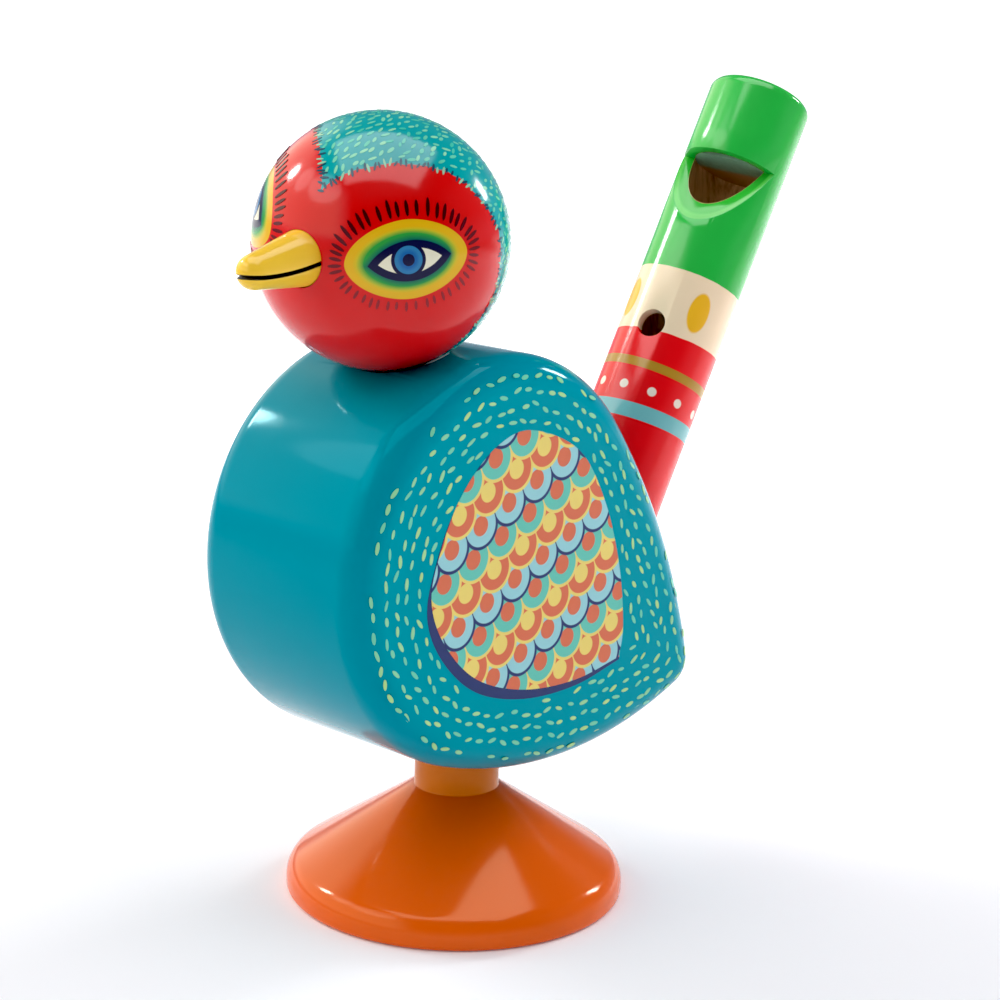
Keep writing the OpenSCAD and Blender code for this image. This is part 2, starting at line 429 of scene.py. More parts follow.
def strokeTree():
    # small brush strokes: each point carries its direction, its surface's normal and its size
    tree = Shaper("brushStrokes", {"Thickness": ("NodeSocketFloat", 0.00012), "Corners": ("NodeSocketInt", 12)})

    def named(key, kind="FLOAT"):
        return tree.node("GeometryNodeInputNamedAttribute", {"Name": key}, "Attribute", data_type=kind)

    stamp = tree.node("GeometryNodeMeshCylinder",
                      {"Vertices": tree.given("Corners"), "Radius": 0.5, "Depth": 1.0},
                      "Mesh", fill_type="NGON")
    upright = tree.node("FunctionNodeAlignRotationToVector", {"Vector": named("out", "FLOAT_VECTOR")}, axis="Z")
    laid = tree.node("FunctionNodeAlignRotationToVector",
                     {"Rotation": upright, "Vector": named("along", "FLOAT_VECTOR")}, axis="X", pivot_axis="Z")
    size = tree.node("ShaderNodeCombineXYZ",
                     {0: named("reach"), 1: named("breadth"), 2: tree.given("Thickness")})
    tree.close(tree.node("GeometryNodeInstanceOnPoints", {
        "Points": tree.given("Geometry"), "Instance": stamp, "Rotation": laid, "Scale": size}))
    return tree


turning = turningTree()
strokes = strokeTree()


def turned(name, profile, material, segments):
    # profile points are (radius, height) in mm
    mesh = bpy.data.meshes.new(name)
    mesh.from_pydata([(r * mm, 0, h * mm) for r, h in profile],
                     [(i, i + 1) for i in range(len(profile) - 1)], [])
    return dress(turning.use(newObject(name, mesh), {"Segments": segments}), material)


def brushed(name, marks, material, thickness=0.12, corners=12):
    # marks are (place, along, out, reach, breadth, tint), places and sizes in mm
    mesh = bpy.data.meshes.new(name)
    mesh.from_pydata([Vector(mark[0]) * mm for mark in marks], [], [])
    columns = (("along", "vector", 1), ("out", "vector", 1),
               ("reach", "value", mm), ("breadth", "value", mm), ("tint", "value", 1))
    for column, (key, kind, scale) in enumerate(columns, 1):
        layer = mesh.attributes.new(key, "FLOAT_VECTOR" if kind == "vector" else "FLOAT", "POINT")
        for entry, mark in zip(layer.data, marks):
            setattr(entry, kind, mark[column] * scale)
    piece = strokes.use(newObject(name, mesh), {"Thickness": thickness * mm, "Corners": corners})
    paint(piece, material)
    piece.data.shade_smooth()
    piece.data.set_sharp_from_angle(angle=radians(40))
    return piece


# foot

footShape = {
    "diameter": 60.0, "coneHeight": 19.2, "rimHeight": 2.1, "shoulder": 4.5, "edge": 1.0,
    "land": 0.4, "neckDiameter": 15.0, "neckHeight": 8.3, "dowelDiameter": 8.06, "dowelDepth": 15.0,
    "corner": 0.25,  # mm, the turner's sandpaper takes off the crisp corners
    "orange": srgb(229, 95, 24), "neckTint": srgb(220, 112, 18),
}
footTop = footShape["coneHeight"] + footShape["neckHeight"]


def footFinish(shape):
    finish = Finish("orangeLacquer")
    height = finish.local()[2]
    onNeck = height.over(shape["coneHeight"] + 0.1, 0.3)
    return finish.lacquer(finish.mix(shape["orange"], shape["neckTint"], onNeck), footGloss)


def makeFoot(shape):
    radius = shape["diameter"] / 2
    neck = shape["neckDiameter"] / 2
    cone = shape["coneHeight"]
    shoulder = Vector((radius - shape["shoulder"], shape["rimHeight"]))
    coneTop = Vector((neck + shape["land"], cone))
    slope = degrees(acos(shape["shoulder"] / (coneTop - shoulder).length))
    flank = bearing(shoulder, coneTop) - slope
    corner, hole = shape["corner"], shape["dowelDiameter"] / 2
    profile = [(0, 0), (radius / 2, 0)]
    profile += arc((radius - shape["edge"], shape["edge"]), shape["edge"], -90, 0, 8)
    profile += arc(shoulder, shape["shoulder"], 0, flank, 16)
    profile += [profile[-1].lerp(coneTop, share) for share in (0.04, 0.3, 0.6, 0.9, 0.97)]
    profile += [coneTop - Vector((corner / 2, 0)), (neck + corner / 3, cone + corner / 3),
                (neck, cone + corner), (neck, footTop - corner), (neck - corner, footTop)]
    floor = footTop - shape["dowelDepth"]
    profile += [(hole, footTop), (hole, floor), (0, floor)]
    return turned("footTurning", profile, footFinish(shape), 160)


foot = makeFoot(footShape)
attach(foot, "bird")
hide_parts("foot")
print("foot turned")


# body

bodyShape = {
    "width": 40.0, "breast": 35.2, "belly": 80.0, "back": 122.0, "tip": 6.3,
    "tipBack": 44.2, "tipDown": 25.6, "edge": 5.5, "centre": (-8.3, 64.255),
    "tipLeft": 0.15,  # share of its radius that the tip keeps on the flat sides
    "steps": (40, 16, 40, 120), "edgeSteps": 12,  # along belly, tip, back and breast, and round the edge
    "seatHole": 15.06, "dowelHole": 8.06, "headHole": 8.1, "headGap": 0.3, "tailHole": 19.6,
    "teal": srgb(0, 142, 162), "sideTeal": srgb(0, 152, 168),
}
bodyCentre = Vector(bodyShape["centre"])
tipCentre = Vector((bodyShape["tipBack"], -bodyShape["tipDown"]))
bellyCentre = meet(Vector((0, 0)), bodyShape["belly"] - bodyShape["breast"], tipCentre,
                   bodyShape["belly"] - bodyShape["tip"], 1)
backCentre = meet(Vector((0, 0)), bodyShape["back"] - bodyShape["breast"], tipCentre,
                  bodyShape["back"] - bodyShape["tip"], -1)


def bodyOutline(inset):
    belly = bodyShape["belly"] - inset
    back = bodyShape["back"] - inset
    radius = max(bodyShape["tip"] - inset, bodyShape["tip"] * bodyShape["tipLeft"])
    tip = meet(bellyCentre, belly - radius, backCentre, back - radius, 1)
    bellyStart = bearing(bellyCentre, (0, 0))
    bellyEnd = bearing(bellyCentre, tip)
    backStart = bearing(backCentre, tip)
    backEnd = bearing(backCentre, (0, 0))
    arcs = [(bellyCentre, belly, bellyStart, bellyEnd), (tip, radius, bellyEnd, backStart),
            (backCentre, back, backStart, backEnd),
            ((0, 0), bodyShape["breast"] - inset, backEnd, bellyStart + 360)]
    return [bodyCentre + point for plan, steps in zip(arcs, bodyShape["steps"])
            for point in arc(*plan, steps)[:-1]]


def bodySurface(inset):
    # half width of the body, and how far its surface leans outward, at an inset from the outline
    edge = bodyShape["edge"]
    short = max(edge - inset, 0)
    rise = sqrt(edge ** 2 - short ** 2)
    return bodyShape["width"] / 2 - edge + rise, short / edge


def bodyFinish(shape):
    finish = Finish("tealLacquer")
    y = finish.local()[1]
    onSide = abs(y).over(shape["width"] / 2 - 0.5, 1.2)
    return finish.lacquer(finish.mix(shape["teal"], shape["sideTeal"], onSide), deepGloss)


headPlace = {"diameter": 42.0, "sink": 2.0, "lean": 13.3, "turned": 8.0}
headUp = leaning(-headPlace["lean"])
headRadius = headPlace["diameter"] / 2
headCentre = outOf(bodyCentre) + headUp * (bodyShape["breast"] + headRadius - headPlace["sink"])

whistlePlace = {"diameter": 19.5, "length": 111.6, "lean": 29.1, "socket": 23.9, "depth": 21.9}
whistleUp = leaning(whistlePlace["lean"])
socketMouth = bodyCentre + backCentre + bodyShape["back"] * toward(whistlePlace["socket"])
whistleFoot = outOf(socketMouth) - whistleUp * whistlePlace["depth"]


def makeBody(shape):
    edge = shape["edge"]
    half = shape["width"] / 2
    sides = []
    for i in range(shape["edgeSteps"] + 1):
        turn = radians(90 * i / shape["edgeSteps"])
        sides.append((edge * (1 - cos(turn)), half - edge * (1 - sin(turn))))
    sides.append((edge + 0.3, half))
    rings = [(inset, -reach) for inset, reach in reversed(sides)] + sides
    loops = [[outOf(p, reach) for p in bodyOutline(inset)] for inset, reach in rings]
    material = bodyFinish(shape)
    piece = dress(loft("bodySlab", loops), material)
    carve(piece, [  # each starts or ends clear of the wood
        rodCutter(up * (footTop - 20), up, shape["seatHole"], 20),
        rodCutter(up * (footTop - 2), up, shape["dowelHole"], 17),
        ball("cutter", headCentre, headRadius + shape["headGap"], 5),
        rodCutter(headCentre - headUp * (headRadius + 15), headUp, shape["headHole"], 18),
        rodCutter(whistleFoot - whistleUp * 0.3, whistleUp, shape["tailHole"], 60, 144),
    ])
    return dress(piece, material)


body = makeBody(bodyShape)
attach(body, "bird")
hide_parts("body_block")
print("body carved")


# wing on each side: a plain wing shape with rows of scalloped feathers

wingShape = {
    "outline": [(-5, 87), (-13.5, 85.2), (-21, 78.6), (-25.6, 70), (-27.5, 62), (-24.2, 54), (-16.5, 46.6),
                (-5, 42.4), (8, 41.4), (19.6, 43.2), (20.3, 49), (18.6, 60), (14.2, 72), (7, 82)],
    "corner": 9, "cornerSteps": 8,  # the point of the outline that stays sharp, and steps between points
    "shadow": (0.0, -0.5), "shadowTurn": 2.7,  # mm and degrees, how the dark wing under it lies
    "thickness": 0.06, "featherWide": 7.2, "featherTall": 4.3, "lean": 24.0,
    "featherRound": 0.56, "heart": 0.42,  # the feather's radius over its width, and its heart's over that
    "rim": 0.55, "soft": 0.12,  # mm
    "orange": srgb(217, 108, 72), "yellow": srgb(236, 212, 110), "mint": srgb(96, 196, 178),
    "sky": srgb(150, 208, 214), "navy": srgb(18, 42, 104),
}


def smoothLoop(points, corner, steps):
    # a closed curve through the points, sharp at one of them
    count = len(points)
    points = [Vector(p) for p in points]
    result = []
    for i in range(count):
        a, b, c, d = (points[(i + k - 1) % count] for k in range(4))
        if i == corner:
            a = b * 2 - c
        if (i + 1) % count == corner:
            d = c * 2 - b
        for step in range(steps):
            t = step / steps
            result.append(0.5 * (2 * b + (c - a) * t + (2 * a - 5 * b + 4 * c - d) * t ** 2
                                 + (3 * b - a - 3 * c + d) * t ** 3))
    return result


def nearLoop(point, loop, margin):
    # whether a point is inside a loop or within a margin of it
    inside = False
    for a, b in zip(loop[-1:] + loop, loop):
        edge = b - a
        away = point - a
        share = max(0, min(1, away.dot(edge) / edge.length_squared))
        if (away - edge * share).length < margin:
            return True
        if (a[1] > point[1]) != (b[1] > point[1]) and point[0] < a[0] + away[1] / edge[1] * edge[0]:
            inside = not inside
    return inside


def wingFinish(shape):
    finish = Finish("wingPaint")
    x, _, z = finish.local()
    u, v = spun(x, z, shape["lean"])
    tall, wide, soft = shape["featherTall"], shape["featherWide"], shape["soft"]
    radius = wide * shape["featherRound"]
    base = (v / tall).math("FLOOR")
    color = None
    for step in (-1, 0, 1, 2):
        # one row of scallops, lapping over the row below it
        number = base + step
        across = ((u + (number % 2) * (wide / 2)) % wide) - wide / 2
        down = v - number * tall
        reach = hypotenuse(across, down)
        tone = number % 3
        second, third = tone.over(0.5, 0.1), tone.over(1.5, 0.1)
        feather = finish.layers(
            shape["orange"], (shape["mint"], second), (shape["sky"], third),
            (finish.mix(shape["yellow"], shape["orange"], second), reach.under(radius * shape["heart"], soft)),
            (finish.mix(shape["yellow"], shape["navy"], third), reach.over(radius - shape["rim"], soft)))
        color = finish.mix(color, feather, reach.under(radius, soft)) if color else feather
    return finish.lacquer(color, lacquerGloss)


def plainFinish(name, color):
    finish = Finish(name)
    return finish.lacquer(finish.shade(color, finish.noise(420.0) * 0.24 + 0.88), lacquerGloss)


def paintLayer(name, loop, side, low, high, material):
    # a thin layer of paint on the body's flat side, from low to high above it
    level = bodyShape["width"] / 2
    loops = [[outOf(p, side * (level + height)) for p in loop] for height in (low, high)]
    piece = loft(name, loops, material)
    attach(piece, "bird")


wingLoop = smoothLoop(wingShape["outline"], wingShape["corner"], wingShape["cornerSteps"])
wingPaint = wingFinish(wingShape)
wingNavy = plainFinish("wingNavy", wingShape["navy"])
shadowPivot = Vector(wingShape["outline"][wingShape["corner"]])
shadowTurn = Matrix.Rotation(radians(wingShape["shadowTurn"]), 2)
shadowLoop = [shadowTurn @ (p - shadowPivot) + shadowPivot + Vector(wingShape["shadow"]) for p in wingLoop]
for side, label in ((-1, "Left"), (1, "Right")):
    thick = wingShape["thickness"]
    paintLayer("wing" + label, wingLoop, side, -thick, thick, wingPaint)
    paintLayer("wingShadow" + label, shadowLoop, side, -thick, thick / 2, wingNavy)
print("wings painted")


# rows of dashes that follow the outline of the body

dashes = {
    "firstRow": 3.4, "rowGap": 2.4, "rows": 10, "pitch": 2.9, "reach": 1.9, "breadth": 0.7,
    "clearOfWing": 0.9, "swing": 24, "stray": 0.5, "seed": 11,  # mm, degrees and mm
    "green": srgb(106, 206, 176), "yellow": srgb(182, 222, 142), "mostlyGreen": 1.6,
}


def strokeFinish(name, light, warm):
    finish = Finish(name)
    tint = finish.node("ShaderNodeAttribute", output=2, attribute_name="tint")
    return finish.lacquer(finish.mix(light, warm, tint), lacquerGloss)


def bodyDashes(side, label, material, plan):
    rng = random.Random(plan["seed"] + side)
    marks = []
    for row in range(plan["rows"]):
        inset = plan["firstRow"] + row * plan["rowGap"]
        loop = bodyOutline(inset)
        lengths = [(b - a).length for a, b in zip(loop[-1:] + loop, loop)]
        total = sum(lengths)
        count = int(total / plan["pitch"])
        walk = (row % 2) * 0.5 * plan["pitch"]
        targets = [walk + (k + rng.uniform(-0.2, 0.2)) * total / count for k in range(count)]
        reach, leanOut = bodySurface(inset)
        travelled = 0.0
        k = 0
        for i, length in enumerate(lengths):
            while k < count and targets[k] <= travelled + length:
                a, b = loop[i - 1], loop[i]
                step = (b - a).normalized()
                outward = Vector((step[1], -step[0]))
                spot = a.lerp(b, (targets[k] - travelled) / length)
                spot += outward * rng.uniform(-plan["stray"], plan["stray"])
                k += 1
                if any(nearLoop(spot, wing, plan["clearOfWing"]) for wing in (wingLoop, shadowLoop)):
                    continue
                level = sqrt(1 - leanOut ** 2)
                along, _ = spun(step, outward, rng.uniform(-plan["swing"], plan["swing"]))
                marks.append((outOf(spot, side * reach), outOf(along), outOf(outward * leanOut, side * level),
                              plan["reach"] * rng.uniform(0.8, 1.15), plan["breadth"] * rng.uniform(0.85, 1.15),
                              rng.random() ** plan["mostlyGreen"]))
            travelled += length
    return brushed("bodyDashes" + label, marks, material)


dashPaint = strokeFinish("dashPaint", dashes["green"], dashes["yellow"])
for side, label in ((-1, "Left"), (1, "Right")):
    piece = bodyDashes(side, label, dashPaint, dashes)
    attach(piece, "bird")
print("dashes brushed")


# head: the paint is laid out round the beak, a little askew on the ball

faceFrame = {"yaw": 190.0, "cock": -12.0}  # degrees, against the dowel's plain position
eye = {
    "azimuth": 45.5, "height": 8.5,  # degrees from the beak and above the middle
    # middle across and up, half width and height, tilt in degrees, and how round the oval is
    "oval": (0.8, -0.17, 10.03, 6.22, 15.4, 1.81), "ring": (0.75, -0.17, 7.75, 4.55, 16.0, 1.86),
    "almond": (1.09, -0.24, 6.74, 3.18, 16.7), "inner": (1.09, -0.24, 5.1, 2.0, 16.7),
    "iris": (0.72, -0.16), "irisRadius": 2.2, "irisBand": 2.75, "pupil": 0.95,
    "yellow": srgb(228, 180, 28), "olive": srgb(196, 196, 48), "green": srgb(46, 158, 62),
    "sea": srgb(0, 92, 92), "navy": srgb(2, 2, 58), "white": srgb(236, 232, 206),
    "blue": srgb(22, 98, 166), "paleBlue": srgb(44, 124, 176),
}
headPaint = {
    "red": srgb(216, 20, 18), "cap": srgb(4, 162, 166), "ragged": 3.0,  # degrees
    # border of the cap: angle round from the beak, height, in degrees, over the face and then down behind it
    "over": [(0, 28), (5, 36), (10, 39.5), (15, 42.5), (22, 45.6), (33, 49), (53, 50.6), (67, 49), (80, 44.5)],
    "behind": [(80, 44.5), (88, 36.7), (95, 29), (100, 21), (101, 13), (101.5, 5), (102, -4), (101.5, -12),
               (100, -18), (98, -25), (97, -31), (95, -45), (93, -60), (92, -90)],
}
faceTurn = Euler((radians(faceFrame["cock"]), 0, radians(faceFrame["yaw"])), "XYZ")
faceMatrix = faceTurn.to_matrix()


def between(points, key, along, across):
    # the value of a line of points at a key, running along one of its columns
    for near, far in zip(points, points[1:]):
        if min(near[along], far[along]) <= key <= max(near[along], far[along]):
            share = (key - near[along]) / (far[along] - near[along])
            return near[across] + (far[across] - near[across]) * share
    return points[-1][across]


def inCap(azimuth, height, margin):
    azimuth = abs(azimuth)
    if height > between(headPaint["over"], azimuth, 0, 1) + margin:
        return True
    behind = headPaint["behind"]
    return height < behind[0][1] and azimuth > between(behind, height, 1, 0) + margin


def eyeAxes():
    out = direction(eye["azimuth"], eye["height"])
    east = up.cross(out).normalized()
    return east, out.cross(east), out


def headFinish():
    finish = Finish("headLacquer")
    x, y, z = finish.local(headCentre * mm, faceTurn)
    side = abs(y)
    azimuth = side.math("ARCTAN2", x) * (180 / pi)
    height = (z / (headRadius + 0.001)).math("ARCSINE") * (180 / pi)
    over = headPaint["over"] + [(180, headPaint["over"][-1][1])]
    above = finish.curve([(a / 180, h / 180 + 0.5) for a, h in over], azimuth / 180)
    behind = headPaint["behind"][::-1] + [(80, 90)]
    back = finish.curve([(h / 180 + 0.5, a / 180) for a, h in behind], height / 180 + 0.5)
    feather = (finish.noise(700.0, 2.0) - 0.5) * headPaint["ragged"]
    cap = (height - above * 180 + 90 - feather).over(0, 0.5)
    cap = cap.math("MAXIMUM", (azimuth - back * 180 - feather).over(0, 0.5))

    # u and v run across and up the ball from the middle of the eye
    east, north, out = eyeAxes()

    def along(axis):
        return x * axis[0] + side * axis[1] + z * axis[2]

    stretch = (2 / (along(out) / headRadius + 1.0001)).math("SQRT")
    u = along(east) * stretch
    v = along(north) * stretch

    def oval(shape):
        a, b = spun(u - shape[0], v - shape[1], shape[4])
        power = shape[5]
        reach = (abs(a) / shape[2]) ** power + (abs(b) / shape[3]) ** power
        return (reach ** (1 / power) - 1) * shape[3]  # about the distance to its edge

    def almond(shape):
        a, b = spun(u - shape[0], v - shape[1], shape[4])
        half, tall = shape[2], shape[3]
        radius = (half ** 2 + tall ** 2) / (2 * tall)
        return hypotenuse(a, abs(b) + (radius - tall)) - radius

    ring = oval(eye["ring"])
    lens = almond(eye["almond"])
    fromIris = hypotenuse(u - eye["iris"][0], v - eye["iris"][1])
    color = finish.layers(
        headPaint["red"], (headPaint["cap"], cap),
        (finish.mix(eye["yellow"], eye["olive"], ring.under(0.25, 0.7)), oval(eye["oval"]).under(0)),
        (finish.mix(eye["green"], eye["sea"], lens.under(0.4, 1.0)), ring.under(-0.1, 0.7)),
        (eye["navy"], lens.under(0)),
        (eye["white"], almond(eye["inner"]).under(0)),
        (eye["navy"], fromIris.under(eye["irisBand"]) * lens.under(0)),
        (finish.mix(eye["paleBlue"], eye["blue"], fromIris.under(1.5, 0.6)), fromIris.under(eye["irisRadius"])),
        (eye["navy"], fromIris.under(eye["pupil"])))
    return finish.lacquer(color, lacquerGloss)


beakShape = {
    "diameter": 9.1, "proud": 12.7, "nose": 2.8, "droop": 6.2, "high": 1.1, "seat": 0.3,
    "pegDiameter": 5.0, "pegDepth": 9.0, "mouthWide": 0.75, "mouthDeep": 0.7,
    "mouthLow": 0.9, "mouthLowAt": 5.5, "mouthBend": 41.0,  # the mouth's gentle curve, in mm
    "play": 0.06, "dowelHole": 8.06,  # round the peg, and of the ball's own dowel
    "yellow": srgb(250, 204, 62), "dark": srgb(38, 30, 10),
}
beakRadius = beakShape["diameter"] / 2
beakSeatAt = sqrt(headRadius ** 2 - (beakRadius + beakShape["high"]) ** 2) - beakShape["seat"]
# frame of the beak: its axis is Z here, its upper side is -X
beakTurn = (Matrix.Rotation(radians(-headPlace["lean"]), 4, "Y")
            @ Matrix.Rotation(radians(180 + headPlace["turned"]), 4, "Z")
            @ Matrix.Rotation(radians(beakShape["droop"] - headPlace["lean"]), 4, "Y"))
beakPlace = (Matrix.Translation(headCentre * mm) @ beakTurn
             @ Matrix.Translation((0, 0, beakShape["high"] * mm)) @ Matrix.Rotation(radians(90), 4, "Y"))
beakAxis = (beakTurn @ Vector((1, 0, 0))).normalized()
beakOrigin = headCentre + (beakTurn @ Vector((0, 0, beakShape["high"])))


def makeHead(shape):
    piece = ball("headBall", headCentre, headRadius, 6)
    play = shape["play"]
    carve(piece, [
        rodCutter(headCentre - headUp * (headRadius + 5), headUp, shape["dowelHole"], 20),
        rodCutter(beakOrigin + beakAxis * beakSeatAt, beakAxis, shape["diameter"] + play, 8, 96),
        rodCutter(beakOrigin + beakAxis * (headRadius - shape["pegDepth"]), beakAxis,
                  shape["pegDiameter"] + play, 12),
    ])
    return dress(piece, headFinish())


head = makeHead(beakShape)
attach(head, "head")
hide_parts("head_ball")
print("head painted")


lashes = {
    "count": 46, "gap": 0.4, "reach": (1.6, 2.9), "breadth": (0.46, 0.64), "seed": 5,  # below, above the eye
    # the light colour on the lashes below the eye is a painted reflection of the pale floor; the dark one is
    # their own paint
    "dark": srgb(56, 4, 14), "light": srgb(150, 30, 40),
}


def eyeLashes(plan):
    rng = random.Random(plan["seed"])
    east, north, out = eyeAxes()
    marks = []
    centreU, centreV, wide, tall, tilt, _ = eye["oval"]
    for side in (1, -1):
        for k in range(plan["count"]):
            angle = 2 * pi * (k + rng.uniform(-0.15, 0.15)) / plan["count"]
            upper = 0.5 + 0.5 * sin(angle)
            low, high = plan["reach"]
            reach = (low + (high - low) * upper) * rng.uniform(0.88, 1.12)
            beyond = plan["gap"] + reach / 2
            u, v = spun(cos(angle) * (wide + beyond), sin(angle) * (tall + beyond), -tilt)
            u += centreU
            v += centreV
            spread = hypot(u, v)
            swing = 2 * asin(min(spread / (2 * headRadius), 1))
            point = out * cos(swing) + (east * u + north * v) / spread * sin(swing)
            awayU, awayV = spun(cos(angle) / wide, sin(angle) / tall, -tilt)
            away = (east * awayU + north * awayV).normalized()
            away = (away - point * away.dot(point)).normalized()
            point[1] *= side
            away[1] *= side
            spot = faceMatrix @ point
            thin, thick = plan["breadth"]
            # the last value lightens the lashes below the eye: a painted reflection of the floor
            marks.append((headCentre + spot * headRadius, faceMatrix @ away, spot, reach,
                          thin + (thick - thin) * upper, 1 - upper))
    return brushed("eyeLashes", marks, strokeFinish("lashPaintAndReflection", plan["dark"], plan["light"]), 0.12, 10)


def onBall(azimuth, height):
    # a place on the ball and its normal, from angles of the painted face
    out = faceMatrix @ direction(azimuth, height)
    return headCentre + out * headRadius, out


capStrokes = {
    "count": 2000, "margin": 2.6, "reach": 1.45, "breadth": 0.55, "seed": 3,
    "lowest": -48, "stray": 1.2, "swing": 38, "back": (-1, 0, 0.25),  # degrees, and which way they lie
    "green": srgb(64, 196, 172), "yellow": srgb(150, 222, 180),
    "hatchPitch": 0.85, "hatchReach": 1.5, "hatchBreadth": 0.42,
    "hatchStray": 1, "hatchSwing": 20, "hatchTurn": 14, "hatchLight": 0.35,  # degrees, and share of light ones
    "dark": srgb(18, 72, 92), "light": srgb(150, 205, 170),
}


def capDashes(plan):
    rng = random.Random(plan["seed"])
    marks = []
    golden = 180 * (3 - sqrt(5))
    back = faceMatrix @ Vector(plan["back"])
    stray = plan["stray"]
    for k in range(plan["count"]):
        height = degrees(asin(1 - 2 * (k + 0.5) / plan["count"]))
        azimuth = (k * golden + 180) % 360 - 180
        azimuth += rng.uniform(-stray, stray)
        height += rng.uniform(-stray, stray)
        if not inCap(azimuth, height, plan["margin"]) or height < plan["lowest"]:
            continue
        spot, out = onBall(azimuth, height)
        along = (back - out * back.dot(out)).normalized()
        along, _ = spun(along, out.cross(along), rng.uniform(-plan["swing"], plan["swing"]))
        marks.append((spot, along, out, plan["reach"] * rng.uniform(0.75, 1.15),
                      plan["breadth"] * rng.uniform(0.8, 1.2), rng.random()))
    return brushed("capDashes", marks, strokeFinish("capStrokePaint", plan["green"], plan["yellow"]), 0.07, 10)


def capHatch(plan):
    # short strokes across the border of the cap
    rng = random.Random(plan["seed"] + 1)
    marks = []
    line = headPaint["over"] + [point for point in headPaint["behind"][1:] if point[1] > plan["lowest"]]
    line = [(-a, h) for a, h in reversed(line)] + line[1:]
    stray, swings = plan["hatchStray"], plan["hatchSwing"]
    since = 0.0
    for near, far in zip(line, line[1:]):
        way = onBall(*far)[0] - onBall(*near)[0]
        while since < way.length:
            share = since / way.length
            since += plan["hatchPitch"]
            azimuth = near[0] + (far[0] - near[0]) * share
            height = near[1] + (far[1] - near[1]) * share
            spot, out = onBall(azimuth + rng.uniform(-stray, stray), height + rng.uniform(-stray, stray))
            swing = rng.uniform(-swings, swings) + plan["hatchTurn"]
            along, _ = spun(out.cross(way).normalized(), way.normalized(), swing)
            marks.append((spot, along, out, plan["hatchReach"] * rng.uniform(0.7, 1.2),
                          plan["hatchBreadth"] * rng.uniform(0.8, 1.1),
                          float(rng.random() < plan["hatchLight"])))
        since -= way.length
    return brushed("capHatch", marks, strokeFinish("hatchPaint", plan["dark"], plan["light"]), 0.09, 10)


for piece in (eyeLashes(lashes), capDashes(capStrokes), capHatch(capStrokes)):
    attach(piece, "head")
print("face strokes brushed")


# beak: turned to a blunt bullet, with the line of the mouth pressed in

def beakFinish(shape):
    finish = Finish("beakLacquer")
    along, _, level = finish.local(beakOrigin * mm, beakTurn.to_euler("XYZ"))
    forward = along - headRadius - shape["mouthLowAt"]
    bend = shape["mouthBend"]
    mouth = abs(level - (bend - shape["mouthLow"]) + (bend ** 2 - forward * forward).math("SQRT"))
    line = mouth.under(shape["mouthWide"] / 2, 0.1)
    return finish.lacquer(finish.mix(shape["yellow"], shape["dark"], line), lacquerGloss)


def makeBeak(shape):
    tipAt = headRadius + shape["proud"]
    noseCentre = Vector((0, tipAt - shape["nose"]))
    root = Vector((beakRadius, beakSeatAt))
    flank = bearing(noseCentre, root) + degrees(acos(shape["nose"] / (root - noseCentre).length))
    nose = arc(noseCentre, shape["nose"], flank, 90, 22)
    nose[-1] = Vector((0, tipAt))
    side = [root.lerp(nose[0], i / 28) for i in range(28)]
    peg = shape["pegDiameter"] / 2
    start = headRadius - shape["pegDepth"] + 0.3
    material = beakFinish(shape)
    piece = turned("beakTurning", [(0, start), (peg, start), (peg, beakSeatAt)] + side + nose, material, 240)
    half = shape["mouthWide"] / 2 * mm
    bend = shape["mouthBend"] * mm
    lowest = (headRadius + shape["mouthLowAt"]) * mm
    for vertex in piece.data.vertices:
        # here the beak's axis is still Z and its upper side -X
        x, y, z = vertex.co
        level = bend - shape["mouthLow"] * mm - sqrt(bend ** 2 - (z - lowest) ** 2)
        fromLine = abs(-x - level)
        radius = hypot(x, y)
        if z > beakSeatAt * mm and fromLine < half and radius > 0.2 * mm:
            press = shape["mouthDeep"] * mm * (cos(pi * fromLine / half) + 1) / 2
            keep = max(1 - press / radius, 0)
            vertex.co = (x * keep, y * keep, z)
    piece.data.transform(beakPlace)
    return dress(piece, material, 40)


beak = makeBeak(beakShape)
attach(beak, "head")
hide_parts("beak")
print("beak turned")


# whistle

whistleShape = {
    "bore": 15.2, "boreLength": 82.0, "mouthRound": 2.0, "footRound": 0.5,
    "block": 15.9, "notch": 14.4, "notchDepth": 7.2, "turned": 14.5,
    "finger": 5.3, "fingerAt": 51.3, "edge": 0.16,
}
whistlePaint = {
    # heights above the lower end, in mm
    "cream": 71.65, "red": 59.35, "gold": (51.75, 53.45), "blueBand": (42.3, 45.2), "askew": (0.45, 140),
    # the ramp's lighter green band along its outer edge, 0.75 mm wide, is a painted highlight
    "wobble": 0.35, "rampFrom": 78, "rampHighlight": 0.75,
    "dotAt": 48.0, "dots": 11, "dotTurn": 43.0, "dotRadius": 0.85,
    "ovalAt": 65.0, "ovalHalf": (3.85, 2.05), "ovalTurn": 60.5, "ovals": 4,
    "greenPaint": srgb(44, 186, 70), "creamPaint": srgb(255, 226, 190), "redPaint": srgb(244, 22, 26),
    "goldPaint": srgb(190, 140, 44), "bluePaint": srgb(124, 190, 192), "dotPaint": srgb(250, 232, 214),
    "yellowPaint": srgb(250, 188, 44), "bareWood": srgb(216, 174, 128), "darkGrain": srgb(160, 120, 84),
    # the second green is the painted highlight along the ramp's outer edge
    "rampPaint": srgb(54, 184, 58), "rampHighlightPaint": srgb(92, 204, 84),
}
whistleSpin = Euler((0, radians(whistlePlace["lean"]), 0), "XYZ")
whistleFrame = Matrix.Translation(whistleFoot * mm) @ whistleSpin.to_matrix().to_4x4()
whistleRadius = whistlePlace["diameter"] / 2


